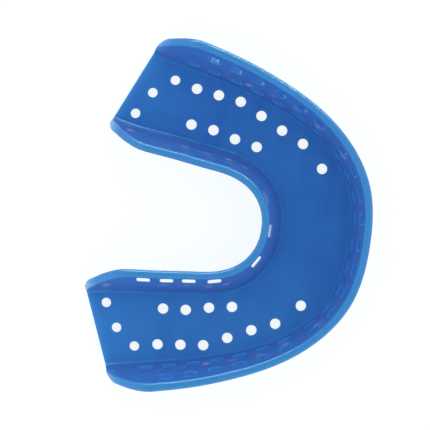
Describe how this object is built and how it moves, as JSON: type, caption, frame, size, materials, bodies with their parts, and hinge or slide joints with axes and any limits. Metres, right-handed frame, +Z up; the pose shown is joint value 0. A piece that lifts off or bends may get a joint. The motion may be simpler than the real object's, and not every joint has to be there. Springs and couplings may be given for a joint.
{
  "type": "impression tray",
  "caption": "Full-arch lower dental impression tray: horseshoe trough with a perforated floor, slotted flanges, out-turned lips and open slanted ends, without a handle.",
  "frame": {"origin": "middle of the overall width and length, level with the flat underside of the floor", "axes": "+Z up, out of the open trough; -Y towards the front of the arch; +X and -X towards the two arms, which mirror each other"},
  "size_m": [0.0806, 0.0627, 0.0129],
  "materials": {
    "tray": "glossy, slightly translucent blue polystyrene, polished mould"
  },
  "bodies": {
    "root": {"tray": "tray"}
  },
  "joints": []
}
